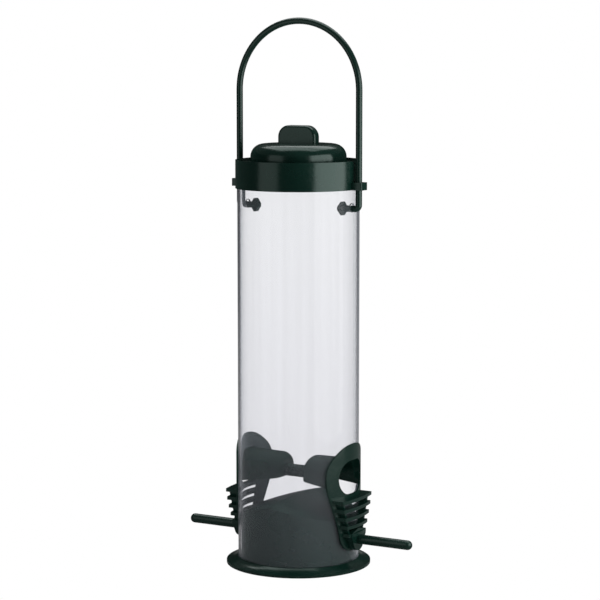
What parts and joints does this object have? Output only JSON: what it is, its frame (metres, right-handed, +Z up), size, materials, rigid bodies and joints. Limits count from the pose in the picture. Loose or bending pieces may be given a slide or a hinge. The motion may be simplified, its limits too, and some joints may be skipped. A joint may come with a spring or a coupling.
{
  "type": "hanging tube bird feeder",
  "caption": "Hanging tube feeder for wild birds: clear seed tube, domed lid sliding on a bail handle, hooded feeding ports with drain grilles, push-in perches, round foot with a seed ramp.",
  "frame": {"origin": "centre of the base's underside, on the surface it stands on", "axes": "+Z up along the tube; X through the two ports, the perches and the handle's two arms; Y across"},
  "size_m": [0.1312, 0.0746, 0.2802],
  "materials": {
    "clear_tube": "clear, polished",
    "green_plastic": "moulded, semi-gloss dark green"
  },
  "bodies": {
    "feeder": {"tube": "clear_tube", "base": "green_plastic", "port_right": "green_plastic", "port_left": "green_plastic", "tie_rod": "green_plastic", "perch_right": "green_plastic", "perch_left": "green_plastic", "handle": "green_plastic"},
    "lid": {"lid": "green_plastic"}
  },
  "joints": [
    {"name": "lid_slide", "type": "slide", "parent": "feeder", "child": "lid", "axis": [0, 0, 1], "range_m": [0, 0.038]}
  ]
}
